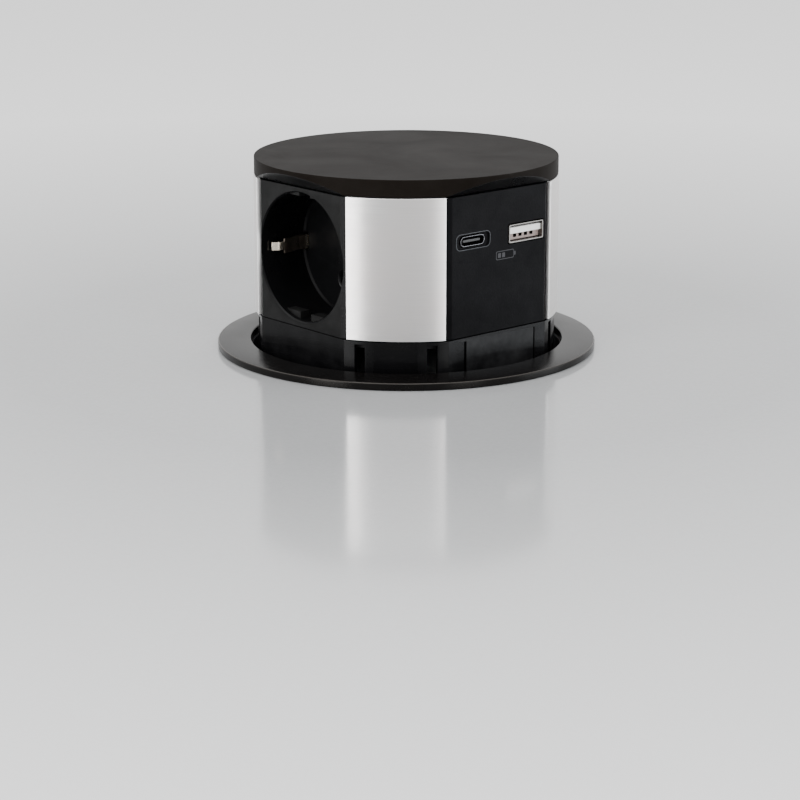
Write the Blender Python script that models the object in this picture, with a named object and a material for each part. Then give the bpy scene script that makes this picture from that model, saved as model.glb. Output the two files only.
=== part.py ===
"""Retractable desk socket tower: a round tower that slides up through a desk flange.

Frame: z = 0 is the underside of the casing, the desk surface is at z = DESK_Z.
Socket faces look along -Y, +Y and -X, the USB face looks along +X.
All driving dimensions are in millimetres and are scaled to metres at the end.
"""
import math
import bpy
import bmesh
from mathutils import Matrix, Vector

MM = 0.001

# ---- overall -------------------------------------------------------------
DESK_Z = 85.0            # desk surface, the flange rests here
FLANGE_R = 60.0
FLANGE_HOLE_R = 49.5
FLANGE_RIM_T = 2.2
FLANGE_T = 2.6
LID_R = 47.7
LID_TOP = DESK_Z + 60.8
LID_RIM_Z = DESK_Z + 55.5
TRAVEL = 58.0

# ---- tower section -------------------------------------------------------
PANEL_R = 47.9           # outside of the silver panels
PANEL_T = 1.4
FLAT_A = 42.8            # distance from the axis to each flat face
FACE_Z0 = DESK_Z + 11.8
FACE_Z1 = DESK_Z + 55.0
FACE_HALF = 20.5
FACE_BEVEL = 1.3
FACE_T = 2.2
WELL_Z = DESK_Z + 33.5
WELL_R = 19.95
WELL_FLOOR = 25.3        # distance from the axis to the well floor
GUIDE_GAP = 2.6          # half width of the notch between the guide shoulders
GUIDE_Z = 17.6           # lower shoulders, distance from the socket axis
GUIDE_TOP_Z = 18.5       # upper shoulders, distance from the socket axis
CUP_R = 21.0
CUP_BACK = 24.0
PIN_PITCH = 19.0
PIN_HOLE_R = 2.7
SKIRT_R = 47.0
SKIRT_A = 42.5
SKIRT_T = 2.0
SKIRT_Z0 = 73.0
SKIRT_Z1 = DESK_Z + 11.4
CATCH_R = 48.9
STOP_Z = 78.0
STOP_T = 2.0
STOP_R = 48.25

# ---- casing --------------------------------------------------------------
CASE_RI = 49.3
THREAD_ROOT = 51.0
THREAD_CREST = 52.3
THREAD_PITCH = 6.0
BASE_T = 3.0
CABLE_HOLE_R = 18.0
NUT_Z = 46.0             # underside of the clamp nut
NUT_H = 9.0
NUT_R = 59.3

# ---- damper gear ---------------------------------------------------------
GEAR_M = 0.8
GEAR_N = 10
GEAR_X = 41.0
GEAR_Z = 67.7

for ob in list(bpy.data.objects):
    bpy.data.objects.remove(ob, do_unlink=True)
for me in list(bpy.data.meshes):
    bpy.data.meshes.remove(me)

MATS = {}


def material(name, colour, rough, metal):
    if name not in MATS:
        m = bpy.data.materials.new(name)
        m.use_nodes = True
        b = m.node_tree.nodes["Principled BSDF"]
        b.inputs["Base Color"].default_value = (*colour, 1.0)
        b.inputs["Roughness"].default_value = rough
        b.inputs["Metallic"].default_value = metal
        m.diffuse_color = (*colour, 1.0)
        MATS[name] = m
    return MATS[name]


def lin(v):
    c = v / 255.0
    return c / 12.92 if c <= 0.04045 else ((c + 0.055) / 1.055) ** 2.4


def rgb(r, g, b):
    return (lin(r), lin(g), lin(b))


# ---- mesh helpers --------------------------------------------------------
def raw(name, verts, faces):
    me = bpy.data.meshes.new(name)
    me.from_pydata([(v[0] * MM, v[1] * MM, v[2] * MM) for v in verts], [], faces)
    me.validate()
    ob = bpy.data.objects.new(name, me)
    bpy.context.scene.collection.objects.link(ob)
    bm = bmesh.new()
    bm.from_mesh(me)
    bmesh.ops.remove_doubles(bm, verts=bm.verts, dist=1e-6)
    bmesh.ops.recalc_face_normals(bm, faces=bm.faces)
    if bm.calc_volume(signed=True) < 0:
        bmesh.ops.reverse_faces(bm, faces=bm.faces)
    bm.to_mesh(me)
    bm.free()
    return ob


def arc(r, a0, a1, n, cx=0.0, cy=0.0):
    return [(cx + r * math.cos(a0 + (a1 - a0) * i / n), cy + r * math.sin(a0 + (a1 - a0) * i / n))
            for i in range(n + 1)]


def circle(r, n, cx=0.0, cy=0.0):
    return [(cx + r * math.cos(2 * math.pi * i / n), cy + r * math.sin(2 * math.pi * i / n)) for i in range(n)]


def prism(name, pts, z0, z1, rings=None):
    """Upright prism of a plan outline; rings optionally gives (z, scale-free outline) layers."""
    layers = rings or [(z0, pts), (z1, pts)]
    n = len(layers[0][1])
    verts = [(x, y, z) for z, p in layers for x, y in p]
    faces = [list(range(n))[::-1], [(len(layers) - 1) * n + i for i in range(n)]]
    for k in range(len(layers) - 1):
        for i in range(n):
            j = (i + 1) % n
            faces.append([k * n + i, k * n + j, (k + 1) * n + j, (k + 1) * n + i])
    return raw(name, verts, faces)


def lathe(name, prof, seg):
    """Closed profile of (r, z) turned about Z; points on the axis become poles."""
    verts, idx = [], []
    for r, z in prof:
        if r < 1e-6:
            idx.append([len(verts)] * seg)
            verts.append((0, 0, z))
        else:
            row = []
            for i in range(seg):
                a = 2 * math.pi * i / seg
                row.append(len(verts))
                verts.append((r * math.cos(a), r * math.sin(a), z))
            idx.append(row)
    faces = []
    m = len(prof)
    for k in range(m):
        a, b = idx[k], idx[(k + 1) % m]
        for i in range(seg):
            j = (i + 1) % seg
            f = []
            for v in (a[i], a[j], b[j], b[i]):
                if v not in f:
                    f.append(v)
            if len(f) > 2:
                faces.append(f)
    return raw(name, verts, faces)


def place(ob, mat):
    """Bakes a transform given in millimetres into the mesh."""
    m = mat.copy()
    m.translation = m.translation * MM
    ob.data.transform(m)
    return ob


def face_frame(side):
    """Local (tangential, outward, up) to world for the face that looks along side."""
    ang = {"-Y": 0.0, "+X": 90.0, "+Y": 180.0, "-X": 270.0}[side]
    # local x = tangential to the right of a viewer facing the face, local -y = outward
    return Matrix.Rotation(math.radians(ang), 4, "Z")


def box(name, x0, x1, y0, y1, z0, z1):
    return prism(name, [(x0, y0), (x1, y0), (x1, y1), (x0, y1)], z0, z1)


def rod(name, r, p0, axis, length, seg=24):
    """Cylinder from p0 along +axis ('X', 'Y' or 'Z')."""
    ob = prism(name, circle(r, seg), 0, length)
    rot = {"Z": Matrix.Identity(4), "X": Matrix.Rotation(math.pi / 2, 4, "Y"),
           "Y": Matrix.Rotation(-math.pi / 2, 4, "X")}[axis]
    return place(ob, Matrix.Translation(Vector(p0)) @ rot)


def combine(ob, others, op):
    for o in others:
        md = ob.modifiers.new("b", "BOOLEAN")
        md.operation = op
        md.object = o
        md.solver = "EXACT"
        if op == "DIFFERENCE":
            o.hide_render = True
            o.display_type = "WIRE"
    bpy.context.view_layer.update()
    deps = bpy.context.evaluated_depsgraph_get()
    me = bpy.data.meshes.new_from_object(ob.evaluated_get(deps))
    old = ob.data
    ob.modifiers.clear()
    ob.data = me
    bpy.data.meshes.remove(old)
    for o in others:
        d = o.data
        bpy.data.objects.remove(o, do_unlink=True)
        bpy.data.meshes.remove(d)
    return ob


def cut(ob, *others):
    return combine(ob, others, "DIFFERENCE")


def join(ob, *others):
    return combine(ob, others, "UNION")


def done(ob, name, mat, origin=None, angle=35.0):
    ob.name = name
    me = ob.data
    me.name = name
    bm = bmesh.new()
    bm.from_mesh(me)
    bmesh.ops.remove_doubles(bm, verts=bm.verts, dist=2e-7)
    bmesh.ops.dissolve_degenerate(bm, edges=bm.edges, dist=1e-7)
    bmesh.ops.dissolve_limit(bm, angle_limit=math.radians(0.05), verts=bm.verts, edges=bm.edges)
    bmesh.ops.triangulate(bm, faces=[f for f in bm.faces if len(f.verts) > 4])
    bm.to_mesh(me)
    bm.free()
    me.materials.clear()
    me.materials.append(mat)
    for p in me.polygons:
        p.use_smooth = True
        p.material_index = 0
    me.set_sharp_from_angle(angle=math.radians(angle))
    if origin is not None:
        o = Vector(origin) * MM
        me.transform(Matrix.Translation(-o))
        ob.location = o
    return ob


def flat_circle(r, a, n):
    """Circle of radius r with four flats at distance a, facing the axes."""
    c = math.acos(a / r)
    pts = []
    for k in range(4):
        b = k * math.pi / 2
        pts += arc(r, b + c, b + math.pi / 2 - c, n)
    return pts


def helix_tube(name, r_plain, r_rows, phases, pitch, z_lo, z_hi, z_a, turns, seg, r_other):
    """Tube with a helical thread on one wall.

    r_plain is the plain radius of the threaded wall, r_rows and phases describe one pitch,
    r_other is the radius of the plain opposite wall.
    """
    rows = len(phases)
    verts, index = [], {}

    def vid(k, i):
        # row k at segment i; segment seg of row k is segment 0 one pitch further on
        if i == seg:
            return vid(k + rows, 0)
        if (k, i) not in index:
            index[(k, i)] = len(verts)
            a = 2 * math.pi * i / seg
            z = z_a + pitch * (k // rows + phases[k % rows] + i / seg)
            verts.append((r_rows[k % rows] * math.cos(a), r_rows[k % rows] * math.sin(a), z))
        return index[(k, i)]

    faces = []
    total = turns * rows
    for k in range(total):
        for i in range(seg):
            faces.append([vid(k, i), vid(k, i + 1), vid(k + 1, i + 1), vid(k + 1, i)])

    def ring(r, z, share0=None):
        out = []
        for i in range(seg):
            if i == 0 and share0 is not None:
                out.append(share0)
                continue
            a = 2 * math.pi * i / seg
            out.append(len(verts))
            verts.append((r * math.cos(a), r * math.sin(a), z))
        return out

    low = ring(r_plain, z_a, vid(0, 0))
    for i in range(seg):
        j = (i + 1) % seg
        f = [low[i], low[j], vid(0, i + 1), vid(0, i)]
        f = [v for n, v in enumerate(f) if v not in f[:n]]
        if len(f) > 2:
            faces.append(f)
    faces.append([vid(k, 0) for k in range(rows + 1)][::-1])
    z_b = z_a + pitch * (turns + 1)
    high = ring(r_plain, z_b, vid(total, seg))
    for i in range(seg):
        j = (i + 1) % seg
        top_i = high[i] if i else high[0]
        f = [vid(total, i), vid(total, i + 1), high[j], top_i]
        f = [v for n, v in enumerate(f) if v not in f[:n]]
        if len(f) > 2:
            faces.append(f)
    faces.append([vid(total - 0 + k, 0) for k in range(rows + 1)])
    bot = ring(r_plain, z_lo)
    top = ring(r_plain, z_hi)
    ibot = ring(r_other, z_lo)
    itop = ring(r_other, z_hi)
    for a, b in ((bot, low), (high, top), (top, itop), (itop, ibot), (ibot, bot)):
        for i in range(seg):
            j = (i + 1) % seg
            faces.append([a[i], a[j], b[j], b[i]])
    return raw(name, verts, faces)


# ---- materials -----------------------------------------------------------
M_FLANGE = material("flange_black", rgb(58, 58, 60), 0.42, 0.0)
M_LID = material("lid_black", rgb(62, 61, 60), 0.5, 0.0)
M_SILVER = material("brushed_silver", rgb(198, 197, 198), 0.34, 1.0)
M_FACE = material("face_black", rgb(40, 40, 43), 0.45, 0.0)
M_USB = material("usb_face_black", rgb(33, 34, 39), 0.5, 0.0)
M_SKIRT = material("skirt_black", rgb(30, 31, 34), 0.32, 0.0)
M_CASE = material("casing_black", rgb(36, 36, 38), 0.55, 0.0)
M_NUT = material("nut_black", rgb(42, 42, 44), 0.5, 0.0)
M_WASH = material("washer_grey", rgb(95, 96, 98), 0.6, 0.0)
M_RUB = material("gasket_rubber", rgb(28, 28, 28), 0.85, 0.0)
M_FRAME = material("frame_black", rgb(26, 26, 28), 0.6, 0.0)
M_STEEL = material("spring_steel", rgb(150, 150, 152), 0.35, 1.0)
M_ZINC = material("screw_zinc", rgb(176, 176, 178), 0.3, 1.0)
M_NICKEL = material("nickel", rgb(205, 202, 196), 0.22, 1.0)
M_BRASS = material("brass", rgb(196, 160, 92), 0.3, 1.0)
M_WHITE = material("tongue_white", rgb(222, 222, 218), 0.45, 0.0)
M_TONGUE = material("tongue_black", rgb(18, 18, 20), 0.5, 0.0)
M_PCB = material("board_green", rgb(26, 84, 52), 0.5, 0.0)
M_TRAFO = material("transformer_yellow", rgb(206, 168, 54), 0.5, 0.0)
M_CAP = material("capacitor_dark", rgb(40, 44, 60), 0.35, 0.0)
M_ACETAL = material("acetal_white", rgb(214, 212, 204), 0.4, 0.0)
M_SHUT = material("shutter_grey", rgb(70, 70, 74), 0.5, 0.0)
M_GLAND = material("gland_grey", rgb(88, 90, 92), 0.55, 0.0)
M_CERAM = material("block_cream", rgb(206, 200, 184), 0.6, 0.0)

# ==========================================================================
# casing, fixed to the desk
# ==========================================================================
SEG = 72

# flange: very slightly conical top, small bevel at the rim, groove below for the gasket
z = DESK_Z
flange = lathe("t", [(FLANGE_HOLE_R, z), (53.8, z), (53.8, z + 0.9), (58.2, z + 0.9), (58.2, z),
                     (FLANGE_R - 0.3, z), (FLANGE_R, z + 0.3), (FLANGE_R, z + FLANGE_RIM_T - 0.5),
                     (FLANGE_R - 0.5, z + FLANGE_RIM_T), (FLANGE_HOLE_R + 0.4, z + FLANGE_T),
                     (FLANGE_HOLE_R, z + FLANGE_T - 0.4)], 96)
done(flange, "flange_bezel", M_FLANGE, angle=30)
gasket = lathe("t", [(54.1, z), (57.9, z), (57.9, z + 0.6), (54.1, z + 0.6)], 64)
done(gasket, "flange_gasket", M_RUB)

# casing barrel with its clamp thread
shell = helix_tube("t", THREAD_ROOT, [THREAD_ROOT, THREAD_CREST, THREAD_CREST],
                   [0.0, 0.3, 0.7], THREAD_PITCH, BASE_T + 0.3, DESK_Z - 0.3,
                   10.0, 10, 40, CASE_RI)
BOSS = [(45.4, -12.0), (-45.4, 12.0)]
bosses = []
for bx, by in BOSS:
    s = 1 if bx > 0 else -1
    bosses.append(box("t", min(bx - s * 2.1, s * 48.6), max(bx - s * 2.1, s * 48.6), by - 2.1, by + 2.1,
                      BASE_T + 0.3, 13.0))
join(shell, *bosses)
cut(shell, *[rod("t", 1.35, (bx, by, 2.0), "Z", 9.0, 12) for bx, by in BOSS])
done(shell, "casing_shell", M_CASE)

stop = lathe("t", [(STOP_R, STOP_Z), (CASE_RI - 0.3, STOP_Z), (CASE_RI - 0.3, STOP_Z + STOP_T),
                   (STOP_R, STOP_Z + STOP_T)], 64)
done(stop, "stop_ring", M_FRAME)

base = lathe("t", [(CABLE_HOLE_R, 0), (THREAD_ROOT - 0.4, 0), (THREAD_ROOT, 0.4), (THREAD_ROOT, BASE_T),
                   (CABLE_HOLE_R, BASE_T)], 64)
cut(base, *([rod("t", 1.45, (bx, by, -1.0), "Z", 6.0, 12) for bx, by in BOSS]
            + [rod("t", 2.6, (bx, by, -1.0), "Z", 2.5, 16) for bx, by in BOSS]))
done(base, "casing_base", M_CASE)

for n, (bx, by) in enumerate(BOSS):
    s = lathe("t", [(0, 0.1), (2.2, 0.1), (2.2, 1.2), (1.05, 1.2), (1.05, 10.4), (0, 10.4)], 16)
    cut(s, box("t", -1.5, 1.5, -0.3, 0.3, -0.5, 0.55))
    place(s, Matrix.Translation((bx, by, 0)))
    done(s, "base_screw_%s" % "abcd"[n], M_ZINC)

# lift spring on the casing base
TURNS = 5.0
SPR_R, SPR_W, SPR_LO, SPR_HI = 30.0, 0.7, BASE_T + 0.35, 69.45
STEPS = int(TURNS * 24)
sv, sf = [], []
WS = 6
for i in range(STEPS + 1):
    t = i / STEPS
    ph = 2 * math.pi * TURNS * t
    # end coils lie flat, the middle coils rise
    e = 0.75 / TURNS
    u = 0.0 if t < e else (1.0 if t > 1 - e else (t - e) / (1 - 2 * e))
    zc = SPR_LO + SPR_W + (SPR_HI - SPR_LO - 2 * SPR_W) * u
    if t < e:
        zc = SPR_LO + SPR_W
    for k in range(WS):
        a = 2 * math.pi * k / WS
        rr = SPR_R + SPR_W * math.cos(a)
        sv.append((rr * math.cos(ph), rr * math.sin(ph), zc + SPR_W * math.sin(a)))
for i in range(STEPS):
    for k in range(WS):
        sf.append([i * WS + k, i * WS + (k + 1) % WS, (i + 1) * WS + (k + 1) % WS, (i + 1) * WS + k])
sf.append(list(range(WS)))
sf.append([STEPS * WS + k for k in range(WS)][::-1])
spring = raw("t", sv, sf)
done(spring, "lift_spring", M_STEEL, origin=(0, 0, SPR_LO), angle=60)

# damper rack on the +X wall
cp = math.pi * GEAR_M
PITCH_X = GEAR_X + GEAR_M * GEAR_N / 2
rz0, rz1 = 5.0, 76.5
pts = [(48.9, rz0), (48.9, rz1), (PITCH_X + 1.0, rz1)]
k_hi = int((rz1 - 1.2 - GEAR_Z) / cp)
k_lo = -int((GEAR_Z - rz0 - 1.2) / cp)
TH = 0.42 * cp / 2
for k in range(k_hi, k_lo - 1, -1):
    zc = GEAR_Z + (k - 0.5) * cp
    if zc - cp / 2 < rz0 + 0.2:
        break
    sl = math.tan(math.radians(20))
    pts += [(PITCH_X + 1.0, zc + TH + sl * 1.0), (PITCH_X - 0.75, zc + TH - sl * 0.75),
            (PITCH_X - 0.75, zc - TH + sl * 0.75), (PITCH_X + 1.0, zc - TH - sl * 1.0)]
pts += [(PITCH_X + 1.0, rz0)]
rack = prism("t", pts, -3.0, 3.0)
place(rack, Matrix(((1, 0, 0, 0), (0, 0, 1, 0), (0, 1, 0, 0), (0, 0, 0, 1))))
bmx = bmesh.new()
bmx.from_mesh(rack.data)
bmesh.ops.recalc_face_normals(bmx, faces=bmx.faces)
if bmx.calc_volume(signed=True) < 0:
    bmesh.ops.reverse_faces(bmx, faces=bmx.faces)
bmx.to_mesh(rack.data)
bmx.free()
done(rack, "damper_rack", M_ACETAL, angle=20)

# guide rails beside the two Y flats
for nm, s in (("guide_rail_front", -1), ("guide_rail_back", 1)):
    y0, y1 = sorted((s * 43.5, s * 48.1))
    r = box("t", -9.0, 9.0, y0, y1, 5.0, 76.5)
    c1 = box("t", -6.0, 6.0, min(s * 42.0, s * 45.6), max(s * 42.0, s * 45.6), 4.0, 78.0)
    cut(r, c1)
    done(r, nm, M_FRAME)

# latch on the casing base
LX, LZ = -41.0, 5.2
lb = box("t", LX - 2.6, LX + 2.2, -4.6, 4.6, BASE_T + 0.3, LZ + 1.7)
cut(lb, box("t", LX - 4.6, LX + 5.0, -3.1, 3.1, BASE_T + 0.5, LZ + 3.0),
    rod("t", 0.95, (LX, -6.0, LZ), "Y", 12.0, 14))
done(lb, "latch_bracket", M_CASE)
pin = rod("t", 0.7, (LX, -4.9, LZ), "Y", 9.8, 14)
done(pin, "latch_pin", M_STEEL)
prof = [(-1.0, 0.0), (1.0, 0.0), (1.0, 3.6), (3.8, 3.6), (3.8, 4.3), (2.2, 5.6), (-1.0, 5.6)]
hook = prism("t", prof, -2.8, 2.8)
place(hook, Matrix(((1, 0, 0, 0), (0, 0, -1, 0), (0, 1, 0, 0), (0, 0, 0, 1))))
hub = rod("t", 1.45, (0, -2.8, 0), "Y", 5.6, 18)
join(hook, hub)
cut(hook, rod("t", 0.95, (0, -6.0, 0), "Y", 12.0, 14))
place(hook, Matrix.Translation((LX, 0, LZ)) @ Matrix.Rotation(math.radians(-18), 4, "Y"))
done(hook, "latch_hook", M_ACETAL, origin=(LX, 0, LZ))

# clamp nut and washer that pull the flange onto the desk
def simple_ring(ri, ro_fn, z0, z1, seg, chamfer=0.0):
    inner0 = circle(ri, seg)
    verts = [(x, y, z0) for x, y in inner0] + [(x, y, z1) for x, y in inner0]
    o = [(ro_fn(2 * math.pi * i / seg) * math.cos(2 * math.pi * i / seg),
          ro_fn(2 * math.pi * i / seg) * math.sin(2 * math.pi * i / seg)) for i in range(seg)]
    verts += [(x, y, z0) for x, y in o] + [(x, y, z1) for x, y in o]
    faces = []
    for i in range(seg):
        j = (i + 1) % seg
        faces += [[i, j, seg + j, seg + i], [2 * seg + i, 2 * seg + j, 3 * seg + j, 3 * seg + i],
                  [i, j, 2 * seg + j, 2 * seg + i], [seg + i, seg + j, 3 * seg + j, 3 * seg + i]]
    return raw("t", verts, faces)


def lobes(a):
    """Grip lobes on the nut's rim."""
    return NUT_R - 1.5 + 1.5 * (1 if math.cos(12 * a) > 0.25 else 0)


nut = simple_ring(THREAD_CREST + 0.45, lobes, NUT_Z, NUT_Z + NUT_H, 72)
# one turn of internal thread, as a ridge sitting in the barrel's groove
RS = 48
tv, tf = [], []
z_mid0 = 10.0 + THREAD_PITCH * (math.floor((NUT_Z - 10.0) / THREAD_PITCH))
steps = int(RS * 1.0)
lo_room = NUT_Z + 0.6
start = 0
while z_mid0 + THREAD_PITCH * start / RS - 0.9 < lo_room:
    start += 1
stop_i = start
while z_mid0 + THREAD_PITCH * stop_i / RS + 0.9 < NUT_Z + NUT_H - 0.6:
    stop_i += 1
for n, i in enumerate(range(start, stop_i)):
    a = 2 * math.pi * i / RS
    zm = z_mid0 + THREAD_PITCH * i / RS
    for rr, dz in ((51.45, -0.35), (51.45, 0.35), (53.4, 1.05), (53.4, -1.05)):
        tv.append((rr * math.cos(a), rr * math.sin(a), zm + dz))
cnt = stop_i - start
if cnt > RS - 2:
    cnt = RS - 2
    tv = tv[:cnt * 4]
for n in range(cnt - 1):
    for k in range(4):
        tf.append([n * 4 + k, n * 4 + (k + 1) % 4, (n + 1) * 4 + (k + 1) % 4, (n + 1) * 4 + k])
tf.append([0, 1, 2, 3])
tf.append([(cnt - 1) * 4 + k for k in (3, 2, 1, 0)])
ridge = raw("t", tv, tf)
join(nut, ridge)
done(nut, "clamp_nut", M_NUT, origin=(0, 0, NUT_Z))
wz = NUT_Z + NUT_H + 0.3
washer = lathe("t", [(52.9, wz), (59.5, wz), (59.5, wz + 1.2), (59.0, wz + 1.7), (52.9, wz + 1.7)], 64)
done(washer, "clamp_washer", M_WASH)

# ==========================================================================
# tower, slides in the casing
# ==========================================================================
# lid: disc with a rim, hollow below, arch undercut over every flat face
lid = lathe("t", [(0, LID_TOP), (0, LID_RIM_Z + 2.6), (40.0, LID_RIM_Z + 2.6), (40.0, LID_RIM_Z),
                  (LID_R - 0.25, LID_RIM_Z), (LID_R, LID_RIM_Z + 0.25), (LID_R, LID_TOP - 0.35),
                  (LID_R - 0.35, LID_TOP)], 96)
wedges = []
for k in range(4):
    # sloped plane that rises outward from the flat face
    w = prism("t", [(42.6, LID_RIM_Z - 2.0), (49.0, LID_RIM_Z - 2.0), (49.0, LID_RIM_Z + 5.0),
                    (42.6, LID_RIM_Z - 0.15)], -24.0, 24.0)
    place(w, Matrix.Rotation(k * math.pi / 2, 4, "Z")
          @ Matrix(((1, 0, 0, 0), (0, 0, -1, 0), (0, 1, 0, 0), (0, 0, 0, 1))))
    wedges.append(w)
cut(lid, *wedges)
done(lid, "lid", M_LID, angle=30)

# frame: four corner posts on a deck
deck = prism("t", flat_circle(46.0, 40.2, 8), 0, 0,
             rings=[(SKIRT_Z1 - 2.6, flat_circle(44.4, 39.8, 8)), (SKIRT_Z1 + 0.3, flat_circle(44.4, 39.8, 8))])
posts = []
for k in range(4):
    a0 = math.asin(21.7 / 46.2)
    p = [(21.7, 21.7)] + arc(46.2, a0, math.pi / 2 - a0, 8)
    pr = prism("t", p, SKIRT_Z1 + 0.1, LID_RIM_Z - 0.3)
    place(pr, Matrix.Rotation(k * math.pi / 2, 4, "Z"))
    posts.append(pr)
join(deck, *posts)
TIE = [(28.0, 28.0), (-28.0, -28.0)]
cut(deck, rod("t", 11.0, (0, 0, 90.0), "Z", 12.0, 32),
    *[rod("t", 1.8, (x, y, 88.0), "Z", 26.0, 14) for x, y in TIE])
done(deck, "tower_frame", M_FRAME)

for n, k in enumerate(range(4)):
    half = math.radians(18.25)
    a = math.radians(45 + 90 * k)
    p = arc(PANEL_R, a - half, a + half, 12) + arc(PANEL_R - PANEL_T, a + half, a - half, 12)
    sp = prism("t", p, FACE_Z0, LID_RIM_Z - 0.3)
    done(sp, "silver_panel_%s" % "abcd"[n], M_SILVER)

# skirt band with its vertical slots, catches below
outer = flat_circle(SKIRT_R, SKIRT_A, 12)
inner = flat_circle(SKIRT_R - SKIRT_T, SKIRT_A - SKIRT_T, 12)
skirt = prism("t", outer, SKIRT_Z0, SKIRT_Z1)
catches = []
for k in range(4):
    a = math.radians(45 + 90 * k)
    h = math.radians(8)
    catches.append(prism("t", arc(CATCH_R, a - h, a + h, 6) + arc(45.8, a + h, a - h, 6), 74.5, STOP_Z - 0.3))
join(skirt, *catches)
cuts = [prism("t", inner, SKIRT_Z0 - 1.0, SKIRT_Z1 + 1.0)]
for k in range(4):
    for s in (-1, 1):
        a = math.radians(45 + 90 * k + s * 13.5)
        h = math.radians(1.95)
        cuts.append(prism("t", arc(49.0, a - h, a + h, 2) + arc(43.5, a + h, a - h, 2), 80.5, DESK_Z + 10.3))
# the charging side has one narrow slit and one shallow groove
cuts.append(box("t", 38.0, 44.0, -13.7, -12.9, 80.5, DESK_Z + 10.3))
cuts.append(box("t", SKIRT_A - 0.5, 44.0, 15.2, 15.6, 80.5, DESK_Z + 10.3))
cut(skirt, *cuts)
done(skirt, "skirt", M_SKIRT)

# underside cover of the tower
tb = prism("t", flat_circle(46.6, 42.1, 12), 70.0, SKIRT_Z0 - 0.3)
cut(tb, rod("t", 8.4, (0, 0, 68.0), "Z", 8.0, 32),
    box("t", 35.4, 47.0, -4.2, 11.4, 69.0, 74.0),
    *[rod("t", 1.8, (x, y, 68.0), "Z", 8.0, 14) for x, y in TIE])
done(tb, "tower_base", M_CASE)
for n, (x, y) in enumerate(TIE):
    s = lathe("t", [(0, 68.2), (2.9, 68.2), (2.9, 69.7), (1.5, 69.7), (1.5, 110.0), (0, 110.0)], 16)
    cut(s, box("t", -2.0, 2.0, -0.35, 0.35, 67.0, 69.0))
    place(s, Matrix.Translation((x, y, 0)))
    done(s, "tie_screw_%s" % "abcd"[n], M_ZINC)

# striker bar that the latch holds
bar = box("t", LX + 2.8, LX + 4.4, -5.2, 5.2, 69.7 - 5.1, 69.7)
cut(bar, box("t", LX + 1.0, LX + 6.0, -3.4, 3.4, 66.4, 71.0))
feet = [box("t", LX + 2.8, LX + 7.4, y - 0.9, y + 0.9, 68.6, 69.7) for y in (-4.3, 4.3)]
join(bar, *feet)
done(bar, "striker_bar", M_STEEL)

# cable gland in the tower base, opening downward
gb = lathe("t", [(5.2, 64.0), (8.0, 64.0), (8.0, 73.0), (11.0, 73.0), (11.0, 75.0), (5.2, 75.0)], 32)
done(gb, "gland_body", M_GLAND)
gn = prism("t", circle(10.6, 6), 61.0, 69.7)
cut(gn, rod("t", 8.3, (0, 0, 63.7), "Z", 10.0, 32), rod("t", 4.6, (0, 0, 60.0), "Z", 8.0, 32))
done(gn, "gland_nut", M_GLAND)

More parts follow.
